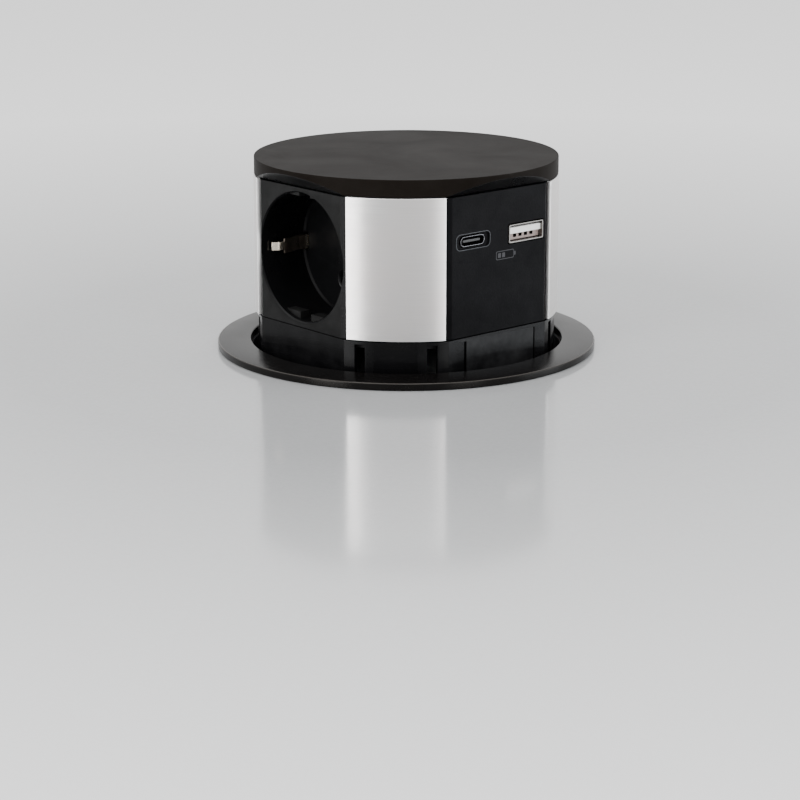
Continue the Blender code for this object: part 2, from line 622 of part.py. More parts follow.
# socket modules
SOCKETS = (("front", "-Y"), ("back", "+Y"), ("left", "-X"))
live_parts, neut_parts, live_bores, neut_bores = [], [], [], []
for nm, side in SOCKETS:
    F = face_frame(side)
    fp = [(-FACE_HALF, -FLAT_A + 0.8), (-FACE_HALF + FACE_BEVEL, -FLAT_A), (FACE_HALF - FACE_BEVEL, -FLAT_A),
          (FACE_HALF, -FLAT_A + 0.8), (FACE_HALF, -FLAT_A + FACE_T), (-FACE_HALF, -FLAT_A + FACE_T)]
    sock = prism("t", fp, FACE_Z0, FACE_Z1)
    cup = rod("t", CUP_R, (0, -41.4, WELL_Z), "Y", 41.4 - CUP_BACK, 48)
    axle = rod("t", 1.2, (0, -CUP_BACK - 0.5, WELL_Z), "Y", CUP_BACK + 0.5 - 22.45, 14)
    join(sock, cup, axle)
    well = rod("t", WELL_R, (0, -46.0, WELL_Z), "Y", 46.0 - WELL_FLOOR, 48)
    cut(sock, well)
    # guide shoulders at the top and bottom of the mouth, each pair flanking a notch
    ribs = []
    for q in (1, -1):
        for u in (1, -1):
            if q > 0:
                pts = [(GUIDE_GAP, GUIDE_TOP_Z), (8.6, GUIDE_TOP_Z), (5.5, 19.64), (GUIDE_GAP, 20.23)]
            else:
                pts = [(GUIDE_GAP, GUIDE_Z), (10.0, GUIDE_Z), (10.0, 17.78), (8.6, 18.5), (5.5, 19.64), (GUIDE_GAP, 20.23)]
            pts = [(u * a, q * b) for a, b in pts]
            rb = prism("t", pts if q * u > 0 else pts[::-1], 37.4, 40.9)
            place(rb, Matrix(((1, 0, 0, 0), (0, 0, -1, 0), (0, 1, 0, WELL_Z), (0, 0, 0, 1))))
            ribs.append(rb)
    join(sock, *ribs)
    cuts = [rod("t", PIN_HOLE_R, (0, -WELL_FLOOR - 1.0, WELL_Z + s * PIN_PITCH / 2), "Y", 4.0, 20) for s in (1, -1)]
    cuts += [box("t", min(s * 17.9, s * 19.7), max(s * 17.9, s * 19.7), -WELL_FLOOR - 1.0, -CUP_BACK + 1.0,
                 WELL_Z - 2.8, WELL_Z + 2.8) for s in (1, -1)]
    cut(sock, *cuts)
    place(sock, F)
    done(sock, "socket_%s" % nm, M_FACE)

    # shutter behind the floor, a two-bladed plate that turns about the socket axis
    bl = box("t", -3.2, 3.2, -23.7, -22.6, WELL_Z - 12.6, WELL_Z + 12.6)
    join(bl, rod("t", 4.4, (0, -23.7, WELL_Z), "Y", 1.1, 20))
    cut(bl, rod("t", 1.5, (0, -26.0, WELL_Z), "Y", 6.0, 14))
    place(bl, F)
    o = F @ Vector((0, -23.15, WELL_Z))
    done(bl, "shutter_%s" % nm, M_SHUT, origin=o)

    # earth strap: cross strip behind the floor, an arm with a bowed clip on each wall
    mid = [(18.9, -21.8), (18.9, -27.0), (17.3, -33.0), (18.6, -37.6), (18.9, -38.4)]
    t = 0.35
    right_o, right_i = [], []
    for i, (x, y) in enumerate(mid):
        a = mid[max(i - 1, 0)]
        b = mid[min(i + 1, len(mid) - 1)]
        dx, dy = b[0] - a[0], b[1] - a[1]
        ln = math.hypot(dx, dy)
        nx, ny = -dy / ln, dx / ln
        right_o.append((x + nx * t, y + ny * t))
        right_i.append((x - nx * t, y - ny * t))
    right_o[0] = (18.9 + t, -21.4)
    right_i[0] = (18.9 - t, -22.1)
    outer_p = right_o
    inner_p = right_i
    poly = list(outer_p) + list(reversed(inner_p))
    poly += [(-x, y) for x, y in inner_p] + [(-x, y) for x, y in reversed(outer_p)]
    st = prism("t", poly, WELL_Z - 2.3, WELL_Z + 2.3)
    place(st, F)
    done(st, "earth_strap_%s" % nm, M_NICKEL)

    # moulded back block that carries the contact sleeves
    bk = box("t", -6.2, 6.2, -21.0, -8.6, WELL_Z - 14.0, WELL_Z + 14.0)
    cut(bk, *[rod("t", 3.35, (0, -24.0, WELL_Z + s * PIN_PITCH / 2), "Y", 20.0, 20) for s in (1, -1)])
    place(bk, F)
    done(bk, "socket_block_%s" % nm, M_CERAM)

    for s, parts, bores in ((1, live_parts, live_bores), (-1, neut_parts, neut_bores)):
        parts.append(place(rod("t", 3.0, (0, -21.9, WELL_Z + s * PIN_PITCH / 2), "Y", 19.9, 20), F))
        bores.append(place(rod("t", 2.45, (0, -24.0, WELL_Z + s * PIN_PITCH / 2), "Y", 15.0, 16), F))

for nm, s, parts, bores in (("live_busbar", 1, live_parts, live_bores), ("neutral_busbar", -1, neut_parts, neut_bores)):
    zc = WELL_Z + s * PIN_PITCH / 2
    hub = box("t", -4.2, 4.2, -4.2, 4.2, zc - 2.4, zc + 2.4)
    join(hub, *parts)
    cut(hub, *bores)
    done(hub, nm, M_BRASS)


# USB side
def rrect(w, h, r, cx, cz, n=4):
    out = []
    for qx, qz, a in ((1, 1, 0), (-1, 1, 90), (-1, -1, 180), (1, -1, 270)):
        out += arc(r, math.radians(a), math.radians(a + 90), n, cx + qx * (w / 2 - r), cz + qz * (h / 2 - r))
    return out


def yz_prism(pts, x0, x1):
    """Outline in (y, z) extruded along x."""
    p = prism("t", pts, x0, x1)
    return place(p, Matrix(((0, 0, 1, 0), (1, 0, 0, 0), (0, 1, 0, 0), (0, 0, 0, 1))))


UC_Y, UA_Y, U_Z = -10.65, 11.1, DESK_Z + 41.0
fp = [(-FACE_HALF, -FLAT_A + 0.8), (-FACE_HALF + FACE_BEVEL, -FLAT_A), (FACE_HALF - FACE_BEVEL, -FLAT_A),
      (FACE_HALF, -FLAT_A + 0.8), (FACE_HALF, -FLAT_A + FACE_T), (-FACE_HALF, -FLAT_A + FACE_T)]
up = prism("t", fp, FACE_Z0, FACE_Z1)
place(up, face_frame("+X"))
cut(up, yz_prism(rrect(13.4, 4.5, 1.4, UC_Y, U_Z), FLAT_A - 0.6, 45.0), yz_prism(rrect(10.4, 3.7, 1.75, UC_Y, U_Z), 38.0, 45.0),
    yz_prism(rrect(15.0, 6.3, 0.7, UA_Y, U_Z), 38.0, 45.0))
done(up, "usb_face", M_USB)
uc = yz_prism(rrect(9.8, 3.1, 1.5, UC_Y, U_Z), 33.0, FLAT_A - 0.3)
cut(uc, yz_prism(rrect(9.2, 2.8, 1.35, UC_Y, U_Z), 34.2, FLAT_A + 2))
done(uc, "usb_c_shell", M_NICKEL)
ut = yz_prism(rrect(7.0, 0.8, 0.35, UC_Y, U_Z, 2), 34.5, FLAT_A - 0.9)
done(ut, "usb_c_tongue", M_TONGUE)
ua = yz_prism(rrect(14.4, 5.7, 0.6, UA_Y, U_Z), 28.0, FLAT_A + 0.2)
cut(ua, yz_prism(rrect(13.2, 4.6, 0.3, UA_Y, U_Z), 29.0, FLAT_A + 2))
done(ua, "usb_a_shell", M_NICKEL)
uat = yz_prism(rrect(12.4, 3.4, 0.3, UA_Y, U_Z - 0.25, 1), 29.3, FLAT_A - 0.9)
done(uat, "usb_a_tongue", M_WHITE)
pcb = box("t", 24.6, 38.8, -19.0, 19.0, U_Z - 4.9, U_Z - 3.3)
done(pcb, "usb_board", M_PCB)
tr = box("t", 26.0, 38.0, -14.0, 0.0, U_Z - 16.6, U_Z - 5.3)
cut(tr, box("t", 25.0, 28.0, -15.0, 1.0, U_Z - 13.6, U_Z - 8.6), box("t", 36.0, 39.0, -15.0, 1.0, U_Z - 13.6, U_Z - 8.6))
done(tr, "transformer", M_TRAFO)
cpb = lathe("t", [(0, U_Z - 18.2), (4.2, U_Z - 18.2), (4.6, U_Z - 17.6), (4.6, U_Z - 5.2), (0, U_Z - 5.2)], 24)
place(cpb, Matrix.Translation((32.0, 8.5, 0)))
done(cpb, "capacitor", M_CAP)

# damper with its pinion
db = rod("t", 4.6, (GEAR_X, 3.5, GEAR_Z), "Y", 7.2, 28)
join(db, rod("t", 1.0, (GEAR_X, -3.2, GEAR_Z), "Y", 7.2, 14),
     box("t", 33.6, 37.4, 4.2, 10.0, 67.2, 69.7))
done(db, "damper_body", M_CASE)


def gear_outline(n, m, frac):
    """Involute tooth outline, pressure angle 20 degrees, tooth width frac of the pitch."""
    rp = m * n / 2
    rb = rp * math.cos(math.radians(20))
    ra = rp + 0.8 * m
    rr = rp - 1.15 * m
    inv = lambda r: math.tan(math.acos(min(1.0, rb / r))) - math.acos(min(1.0, rb / r))
    half = frac * math.pi / n
    out = []
    rs = [rb + (ra - rb) * i / 3 for i in range(4)]
    for k in range(n):
        c = 2 * math.pi * k / n
        left = [(r, c - (half + inv(rp) - inv(r))) for r in rs]
        right = [(r, c + (half + inv(rp) - inv(r))) for r in reversed(rs)]
        a0 = half + inv(rp)
        out += [(rr, c - a0 * 0.98)] + left + right + [(rr, c + a0 * 0.98)]
    return [(r * math.cos(a), r * math.sin(a)) for r, a in out]


pn = prism("t", gear_outline(GEAR_N, GEAR_M, 0.42), -2.6, 2.6)
cut(pn, rod("t", 1.3, (0, 0, -5.0), "Z", 10.0, 14))
place(pn, Matrix.Translation((GEAR_X, 0, GEAR_Z)) @ Matrix(((1, 0, 0, 0), (0, 0, -1, 0), (0, 1, 0, 0), (0, 0, 0, 1))))
done(pn, "damper_pinion", M_ACETAL, origin=(GEAR_X, 0, GEAR_Z), angle=25)
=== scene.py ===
"""Looks for the retractable desk socket tower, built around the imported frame."""
import math

import bmesh
import bpy
from mathutils import Matrix, Vector


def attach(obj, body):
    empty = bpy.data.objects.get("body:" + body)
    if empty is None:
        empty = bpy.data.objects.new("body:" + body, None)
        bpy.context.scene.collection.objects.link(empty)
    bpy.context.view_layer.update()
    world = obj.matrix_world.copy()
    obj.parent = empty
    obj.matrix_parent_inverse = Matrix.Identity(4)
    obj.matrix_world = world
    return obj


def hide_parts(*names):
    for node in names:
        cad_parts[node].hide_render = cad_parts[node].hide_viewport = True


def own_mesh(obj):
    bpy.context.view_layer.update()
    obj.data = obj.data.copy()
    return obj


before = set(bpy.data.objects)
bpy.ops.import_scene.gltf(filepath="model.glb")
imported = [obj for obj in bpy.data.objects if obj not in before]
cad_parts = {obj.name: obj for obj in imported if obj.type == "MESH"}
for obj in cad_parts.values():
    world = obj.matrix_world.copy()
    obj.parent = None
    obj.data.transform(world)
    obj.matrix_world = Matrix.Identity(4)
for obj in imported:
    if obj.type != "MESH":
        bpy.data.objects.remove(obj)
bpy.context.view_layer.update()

MM = 0.001
D = 85.0                     # desk surface, mm


# --------------------------------------------------------------------------
# colour and node helpers
# --------------------------------------------------------------------------
def lin(v):
    c = v / 255.0
    return c / 12.92 if c <= 0.04045 else ((c + 0.055) / 1.055) ** 2.4


def rgb(r, g, b):
    return (lin(r), lin(g), lin(b), 1.0)


class Nodes:
    """Small wrapper that adds and links shader nodes."""

    def __init__(self, name):
        self.m = bpy.data.materials.new(name)
        self.m.use_nodes = True
        self.t = self.m.node_tree
        self.b = self.t.nodes["Principled BSDF"]
        self.co = self.t.nodes.new("ShaderNodeTexCoord").outputs["Object"]

    def add(self, kind, **props):
        n = self.t.nodes.new(kind)
        for k, v in props.items():
            setattr(n, k, v)
        return n

    def link(self, a, b):
        self.t.links.new(a, b)

    def mapping(self, scale, loc=(0, 0, 0)):
        n = self.add("ShaderNodeMapping")
        n.inputs["Scale"].default_value = scale
        n.inputs["Location"].default_value = loc
        self.link(self.co, n.inputs["Vector"])
        return n.outputs["Vector"]

    def noise(self, scale, detail=3.0, rough=0.5, vec=None, distort=0.0):
        n = self.add("ShaderNodeTexNoise")
        n.inputs["Scale"].default_value = scale
        n.inputs["Detail"].default_value = detail
        n.inputs["Roughness"].default_value = rough
        n.inputs["Distortion"].default_value = distort
        self.link(vec if vec is not None else self.co, n.inputs["Vector"])
        return n.outputs["Fac"]

    def range(self, src, a, b, c, d):
        n = self.add("ShaderNodeMapRange")
        n.inputs["From Min"].default_value = a
        n.inputs["From Max"].default_value = b
        n.inputs["To Min"].default_value = c
        n.inputs["To Max"].default_value = d
        self.link(src, n.inputs["Value"])
        return n.outputs["Result"]

    def mix(self, fac, a, b):
        n = self.add("ShaderNodeMix", data_type="RGBA")
        for sock, v in (("A", a), ("B", b)):
            s = [i for i in n.inputs if i.name == sock and i.type == "RGBA"][0]
            if isinstance(v, tuple):
                s.default_value = v
            else:
                self.link(v, s)
        f = [i for i in n.inputs if i.name == "Factor" and i.type == "VALUE"][0]
        if isinstance(fac, (int, float)):
            f.default_value = fac
        else:
            self.link(fac, f)
        return [o for o in n.outputs if o.type == "RGBA"][0]

    def math(self, op, a, b):
        n = self.add("ShaderNodeMath", operation=op)
        for i, v in enumerate((a, b)):
            if isinstance(v, (int, float)):
                n.inputs[i].default_value = v
            else:
                self.link(v, n.inputs[i])
        return n.outputs[0]

    def bump(self, height, strength, distance, prev=None):
        n = self.add("ShaderNodeBump")
        n.inputs["Strength"].default_value = strength
        n.inputs["Distance"].default_value = distance
        self.link(height, n.inputs["Height"])
        if prev is not None:
            self.link(prev, n.inputs["Normal"])
        return n.outputs["Normal"]

    def edges(self, lo=0.51, hi=0.58):
        g = self.add("ShaderNodeNewGeometry")
        return self.range(g.outputs["Pointiness"], lo, hi, 0.0, 1.0)


def plastic(name, col, rough, spec=0.35, grain=2600.0, depth=0.00002, vary=0.12, wear_and_highlight=0.25, coat=0.0,
            rough_vary=0.08, grain_strength=0.35, tint=None):
    """Moulded plastic: fine spark-eroded grain, faint flow mottling, edges lightened by pointiness as wear and as
    painted highlight.
    """
    n = Nodes(name)
    c = col
    light = tuple(min(1.0, v * (1 + vary) + 0.002) for v in c[:3]) + (1.0,)
    dark = tuple(v * (1 - vary) for v in c[:3]) + (1.0,)
    mott = n.noise(60.0, 4.0, 0.6)
    base = n.mix(n.range(mott, 0.3, 0.7, 0.0, 1.0), dark, light)
    fine = n.noise(grain, 2.0, 0.5)
    base = n.mix(n.math("MULTIPLY", n.range(fine, 0.55, 0.8, 0.0, 1.0), 0.35), base,
                 tuple(min(1.0, v * 1.5 + 0.004) for v in c[:3]) + (1.0,))
    # edges lightened by pointiness: wear, and painted edge highlight
    patch = n.noise(180.0, 3.0, 0.55)
    w = n.math("MULTIPLY", n.edges(), n.math("MULTIPLY", n.range(patch, 0.35, 0.75, 0.2, 1.0), wear_and_highlight))
    base = n.mix(w, base, tuple(min(1.0, v * 2.2 + 0.02) for v in c[:3]) + (1.0,))
    n.link(base, n.b.inputs["Base Color"])
    smudge = n.noise(35.0, 5.0, 0.62, distort=0.6)
    n.link(n.range(smudge, 0.25, 0.75, rough - rough_vary, rough + rough_vary), n.b.inputs["Roughness"])
    n.b.inputs["Specular IOR Level"].default_value = spec
    if tint:
        n.b.inputs["Specular Tint"].default_value = tint
    if coat:
        n.b.inputs["Coat Weight"].default_value = coat
        n.b.inputs["Coat Roughness"].default_value = 0.12
    nb = n.bump(fine, grain_strength, depth)
    nb = n.bump(n.noise(25.0, 2.0, 0.4), 0.12, 0.0004, nb)
    n.link(nb, n.b.inputs["Normal"])
    return n.m


def brushed(name, col, rough=0.3, lines=9000.0, along=60.0, axis="around", aniso=0.6, depth=0.000006):
    """Brushed metal: long hairlines across the height, tiny roughness streaks, soft cloudiness."""
    n = Nodes(name)
    if axis == "around":
        v = n.mapping((along, along, lines))
    else:
        v = n.mapping((lines, lines, along))
    hair = n.noise(1.0, 4.0, 0.65, vec=v)
    v2 = n.mapping((along * 0.4, along * 0.4, lines * 0.22) if axis == "around" else (lines * 0.22, lines * 0.22, along * 0.4),
                   (3.1, 7.7, 1.3))
    hair2 = n.noise(1.0, 2.0, 0.5, vec=v2)
    cloud = n.noise(42.0, 3.0, 0.5)
    light = tuple(min(1.0, x * 1.02) for x in col[:3]) + (1.0,)
    dark = tuple(x * 0.9 for x in col[:3]) + (1.0,)
    base = n.mix(n.range(hair, 0.3, 0.7, 0.0, 1.0), dark, light)
    base = n.mix(n.math("MULTIPLY", n.range(cloud, 0.35, 0.7, 0.0, 1.0), 0.6), base,
                 (col[0] * 0.99, col[1] * 0.93, col[2] * 0.91, 1.0))
    n.link(base, n.b.inputs["Base Color"])
    n.b.inputs["Metallic"].default_value = 1.0
    n.link(n.range(hair2, 0.25, 0.75, rough - 0.06, rough + 0.07), n.b.inputs["Roughness"])
    n.b.inputs["Anisotropic"].default_value = aniso
    n.b.inputs["Anisotropic Rotation"].default_value = 0.25
    tan = n.add("ShaderNodeTangent", direction_type="RADIAL", axis="Z")
    n.link(tan.outputs["Tangent"], n.b.inputs["Tangent"])
    n.link(n.bump(hair, 0.4, depth, n.bump(hair2, 0.15, depth)), n.b.inputs["Normal"])
    return n.m


def metal(name, col, rough=0.22, scratch=1400.0, depth=0.000008, vary=0.1, bumped=True):
    """Plated or stamped metal with fine scratches and slight tarnish."""
    n = Nodes(name)
    tarn = n.noise(220.0, 4.0, 0.6)
    base = n.mix(n.range(tarn, 0.35, 0.75, 0.0, 1.0), col, tuple(v * (1 - 2 * vary) for v in col[:3]) + (1.0,))
    n.link(base, n.b.inputs["Base Color"])
    n.b.inputs["Metallic"].default_value = 1.0
    v = n.mapping((scratch, scratch * 0.12, scratch * 0.12))
    sc = n.noise(1.0, 3.0, 0.6, vec=v)
    n.link(n.range(sc, 0.2, 0.8, max(0.04, rough - 0.07), rough + 0.1), n.b.inputs["Roughness"])
    if bumped:
        n.link(n.bump(sc, 0.35, depth), n.b.inputs["Normal"])
    return n.m


def printed(name, col):
    n = Nodes(name)
    s = n.noise(4200.0, 2.0, 0.5)
    n.link(n.mix(n.range(s, 0.4, 0.75, 0.0, 1.0), col, tuple(v * 0.7 for v in col[:3]) + (1.0,)), n.b.inputs["Base Color"])
    n.b.inputs["Roughness"].default_value = 0.6
    n.link(n.bump(s, 0.2, 0.00001), n.b.inputs["Normal"])
    return n.m


def board(name):
    """Solder-masked board with copper tracks under the mask."""
    n = Nodes(name)
    v = n.add("ShaderNodeTexVoronoi", feature="DISTANCE_TO_EDGE", distance="MANHATTAN")
    v.inputs["Scale"].default_value = 260.0
    n.link(n.co, v.inputs["Vector"])
    tr = n.range(v.outputs["Distance"], 0.04, 0.07, 1.0, 0.0)
    base = n.mix(tr, rgb(20, 74, 44), rgb(40, 112, 66))
    n.link(base, n.b.inputs["Base Color"])
    n.b.inputs["Roughness"].default_value = 0.32
    n.link(n.bump(tr, 0.5, 0.00004), n.b.inputs["Normal"])
    return n.m


def wound(name, col):
    """Yellow insulating tape over a wound core: wrap seams and weave."""
    n = Nodes(name)
    w = n.add("ShaderNodeTexWave", wave_type="BANDS", bands_direction="Z")
    w.inputs["Scale"].default_value = 320.0
    w.inputs["Distortion"].default_value = 1.0
    n.link(n.co, w.inputs["Vector"])
    base = n.mix(n.range(w.outputs["Fac"], 0.0, 1.0, 0.0, 1.0), tuple(v * 0.8 for v in col[:3]) + (1.0,), col)
    n.link(base, n.b.inputs["Base Color"])
    n.b.inputs["Roughness"].default_value = 0.38
    n.link(n.bump(w.outputs["Fac"], 0.4, 0.00005), n.b.inputs["Normal"])
    return n.m


M = {
    "flange": plastic("v_flange_black", rgb(6, 5, 5), 0.24, 0.11, 3200, 0.000012, 0.1, 0.5, rough_vary=0.05, tint=(1.0, 0.96, 0.9, 1.0)),
    "lid": plastic("v_lid_black", rgb(15, 11, 8), 0.5, 0.03, 3000, 0.000018, 0.1, 0.3, rough_vary=0.04, tint=(1.0, 0.97, 0.91, 1.0)),
    "face": plastic("v_face_black", rgb(13, 13, 13), 0.48, 0.1, 2800, 0.00002, 0.14, 0.4),
    "well": plastic("v_well_black_painted_shade", rgb(7, 7, 8), 0.3, 0.14, 2800, 0.000008, 0.1, 0.1),
    "usb": plastic("v_usb_black", rgb(5, 5, 7), 0.5, 0.05, 1900, 0.00006, 0.35, 0.25, grain_strength=0.8),
    "skirt": plastic("v_skirt_black", rgb(4, 4, 5), 0.2, 0.12, 2600, 0.000008, 0.1, 0.8, rough_vary=0.06),
    "frame": plastic("v_frame_black", rgb(22, 22, 23), 0.6, 0.25, 2200, 0.00003),
    "case": plastic("v_casing_black", rgb(36, 36, 38), 0.5, 0.4, 1500, 0.00004, 0.12, 0.35),
    "nut": plastic("v_nut_black", rgb(42, 42, 44), 0.48, 0.4, 1500, 0.00004, 0.12, 0.4),
    "washer": plastic("v_washer_grey", rgb(95, 96, 98), 0.55, 0.4, 1500, 0.00004, 0.1, 0.3),
    "rubber": plastic("v_rubber", rgb(26, 26, 26), 0.8, 0.25, 1200, 0.00006, 0.15, 0.1),
    "acetal": plastic("v_acetal", rgb(214, 212, 204), 0.38, 0.5, 1200, 0.00001, 0.03, 0.0),
    "shutter": plastic("v_shutter", rgb(60, 60, 64), 0.5, 0.35, 1800, 0.00002, 0.1, 0.2),
    "gland": plastic("v_gland", rgb(88, 90, 92), 0.5, 0.4, 1500, 0.00003, 0.1, 0.3),
    "cream": plastic("v_block", rgb(206, 200, 184), 0.6, 0.4, 900, 0.00005, 0.05, 0.0),
    "white": plastic("v_tongue_white", rgb(250, 249, 246), 0.42, 0.5, 1500, 0.00001, 0.03, 0.0),
    "pink": plastic("v_tongue_lower", rgb(150, 134, 128), 0.4, 0.5, 1500, 0.00001, 0.05, 0.0),
    "tongue": plastic("v_tongue_black", rgb(16, 16, 17), 0.4, 0.5, 1800, 0.00001, 0.1, 0.2),
    "cap": plastic("v_cap_sleeve", rgb(34, 38, 56), 0.28, 0.5, 1200, 0.00001, 0.06, 0.1),
    "silver": brushed("v_brushed_silver", (0.86, 0.845, 0.835, 1.0), 0.36, aniso=0.85, depth=0.000003),
    "nickel": metal("v_nickel", (0.78, 0.76, 0.72, 1.0), 0.16),
    "edge": metal("v_silver_edge", (0.93, 0.92, 0.91, 1.0), 0.34, vary=0.03, bumped=False),
    "flange_painted_highlight": plastic("v_flange_painted_highlight", rgb(34, 30, 26), 0.3, 0.3, 3200, 0.00001, 0.1, 0.2),
    "clip_painted_shade": metal("v_clip_shade", (0.22, 0.185, 0.15, 1.0), 0.3),
    "clip": metal("v_clip_nickel", (0.70, 0.63, 0.53, 1.0), 0.2),
    "port_dark": metal("v_port_dark", (0.17, 0.17, 0.18, 1.0), 0.24),
    "port_nickel": metal("v_port_nickel", (0.20, 0.19, 0.18, 1.0), 0.2),
    "outline": plastic("v_outline_grey", rgb(44, 46, 50), 0.3, 0.3, 1900, 0.00001, 0.06, 0.1),
    "gold": metal("v_contact_gold", (0.83, 0.62, 0.28, 1.0), 0.2),
    "steel": metal("v_spring_steel", (0.52, 0.52, 0.53, 1.0), 0.28),
    "zinc": metal("v_screw_zinc", (0.66, 0.66, 0.67, 1.0), 0.26),
    "brass": metal("v_brass", (0.72, 0.52, 0.24, 1.0), 0.25),
    "print": printed("v_print_grey", rgb(48, 48, 52)),
    "pcb": board("v_board"),
    "trafo": wound("v_trafo", rgb(206, 168, 54)),
}


# --------------------------------------------------------------------------
# mesh helpers, lengths in millimetres
# --------------------------------------------------------------------------
def raw(name, verts, faces):
    me = bpy.data.meshes.new(name)
    me.from_pydata([(v[0] * MM, v[1] * MM, v[2] * MM) for v in verts], [], faces)
    me.validate()
    bm = bmesh.new()
    bm.from_mesh(me)
    bmesh.ops.remove_doubles(bm, verts=bm.verts, dist=5e-7)
    bmesh.ops.recalc_face_normals(bm, faces=bm.faces)
    if bm.calc_volume(signed=True) < 0:
        bmesh.ops.reverse_faces(bm, faces=bm.faces)
    bm.to_mesh(me)
    bm.free()
    ob = bpy.data.objects.new(name, me)
    bpy.context.scene.collection.objects.link(ob)
    return ob


def arc(r, a0, a1, n, cx=0.0, cy=0.0):
    return [(cx + r * math.cos(a0 + (a1 - a0) * i / n), cy + r * math.sin(a0 + (a1 - a0) * i / n))
            for i in range(n + 1)]


def circle(r, n, cx=0.0, cy=0.0):
    return arc(r, 0.0, 2 * math.pi * (n - 1) / n, n - 1, cx, cy)


def rounded(pts, rads, n=4):
    """Closed outline with each corner rounded by its own radius."""
    out = []
    m = len(pts)
    for i in range(m):
        p = Vector(pts[i])
        a = Vector(pts[i - 1]) - p
        b = Vector(pts[(i + 1) % m]) - p
        r = rads[i] if isinstance(rads, (list, tuple)) else rads
        la, lb = a.length, b.length
        if r <= 0 or la < 1e-9 or lb < 1e-9:
            out.append((p.x, p.y))
            continue
        ang = a.angle(b)
        if ang > math.pi - 0.02:
            out.append((p.x, p.y))
            continue
        t = min(r / math.tan(ang / 2), 0.48 * la, 0.48 * lb)
        p0 = p + a.normalized() * t
        p1 = p + b.normalized() * t
        rr = t * math.tan(ang / 2)
        bis = (a.normalized() + b.normalized()).normalized()
        c = p + bis * (rr / math.sin(ang / 2))
        v0, v1 = p0 - c, p1 - c
        for k in range(n + 1):
            w = v0.lerp(v1, k / n)
            w = w.normalized() * (v0.length * (1 - k / n) + v1.length * (k / n))
            out.append((c.x + w.x, c.y + w.y))
    return out


def prism(name, pts, z0, z1, layers=None):
    layers = layers or [(z0, pts), (z1, pts)]
    n = len(layers[0][1])
    verts = [(x, y, z) for z, p in layers for x, y in p]
    faces = [list(range(n))[::-1], [(len(layers) - 1) * n + i for i in range(n)]]
    for k in range(len(layers) - 1):
        for i in range(n):
            j = (i + 1) % n
            faces.append([k * n + i, k * n + j, (k + 1) * n + j, (k + 1) * n + i])
    return raw(name, verts, faces)


def lathe(name, prof, seg=192):
    verts, idx = [], []
    for r, z in prof:
        if r < 1e-6:
            idx.append([len(verts)] * seg)
            verts.append((0, 0, z))
        else:
            row = []
            for i in range(seg):
                a = 2 * math.pi * i / seg
                row.append(len(verts))
                verts.append((r * math.cos(a), r * math.sin(a), z))
            idx.append(row)
    faces = []
    m = len(prof)
    for k in range(m):
        a, b = idx[k], idx[(k + 1) % m]
        for i in range(seg):
            j = (i + 1) % seg
            f = []
            for v in (a[i], a[j], b[j], b[i]):
                if v not in f:
                    f.append(v)
            if len(f) > 2:
                faces.append(f)
    return raw(name, verts, faces)


def place(ob, mat):
    m = mat.copy()
    m.translation = m.translation * MM
    ob.data.transform(m)
    return ob


def box(x0, x1, y0, y1, z0, z1):
    return prism("c", [(x0, y0), (x1, y0), (x1, y1), (x0, y1)], z0, z1)


def rod(r, p0, axis, length, seg=48):
    ob = prism("c", circle(r, seg), 0, length)
    rot = {"Z": Matrix.Identity(4), "X": Matrix.Rotation(math.pi / 2, 4, "Y"),
           "Y": Matrix.Rotation(-math.pi / 2, 4, "X")}[axis]
    return place(ob, Matrix.Translation(Vector(p0)) @ rot)


def combine(ob, others, op):
    for o in others:
        md = ob.modifiers.new("b", "BOOLEAN")
        md.operation = op
        md.object = o
        md.solver = "EXACT"
    bpy.context.view_layer.update()
    dg = bpy.context.evaluated_depsgraph_get()
    me = bpy.data.meshes.new_from_object(ob.evaluated_get(dg))
    old = ob.data
    ob.modifiers.clear()
    ob.data = me
    bpy.data.meshes.remove(old)
    for o in others:
        d = o.data
        bpy.data.objects.remove(o, do_unlink=True)
        bpy.data.meshes.remove(d)
    return ob


def cut(ob, *o):
    return combine(ob, o, "DIFFERENCE")


def join(ob, *o):
    return combine(ob, o, "UNION")


def finish(ob, name, mat, body, nodes=(), bevel=0.2, seg=2, angle=32, smooth=True):
    """Names, bevels, shades, paints and mounts a piece."""
    ob.name = name
    ob.data.name = name
    bm = bmesh.new()
    bm.from_mesh(ob.data)
    bmesh.ops.remove_doubles(bm, verts=bm.verts, dist=4e-7)
    bmesh.ops.dissolve_degenerate(bm, edges=bm.edges, dist=2e-7)
    bmesh.ops.dissolve_limit(bm, angle_limit=math.radians(0.08), verts=bm.verts, edges=bm.edges)
    bm.to_mesh(ob.data)
    bm.free()
    ob.data.materials.clear()
    ob.data.materials.append(M[mat])
    for p in ob.data.polygons:
        p.material_index = 0
        p.use_smooth = smooth
    if bevel:
        md = ob.modifiers.new("bevel", "BEVEL")
        md.width = bevel * MM
        md.segments = seg
        md.limit_method = "ANGLE"
        md.angle_limit = math.radians(angle)
        md.miter_outer = "MITER_ARC"
        md.use_clamp_overlap = True
        wn = ob.modifiers.new("wn", "WEIGHTED_NORMAL")
        wn.weight = 60
        wn.keep_sharp = True
    else:
        ob.data.set_sharp_from_angle(angle=math.radians(angle))
    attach(ob, body)
    if nodes:
        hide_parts(*nodes)
    return ob


def face_frame(side):
    return Matrix.Rotation(math.radians({"-Y": 0.0, "+X": 90.0, "+Y": 180.0, "-X": 270.0}[side]), 4, "Z")


def flat_circle(r, a, n):
    c = math.acos(a / r)
    pts = []
    for k in range(4):
        b = k * math.pi / 2
        pts += arc(r, b + c, b + math.pi / 2 - c, n)
    return pts


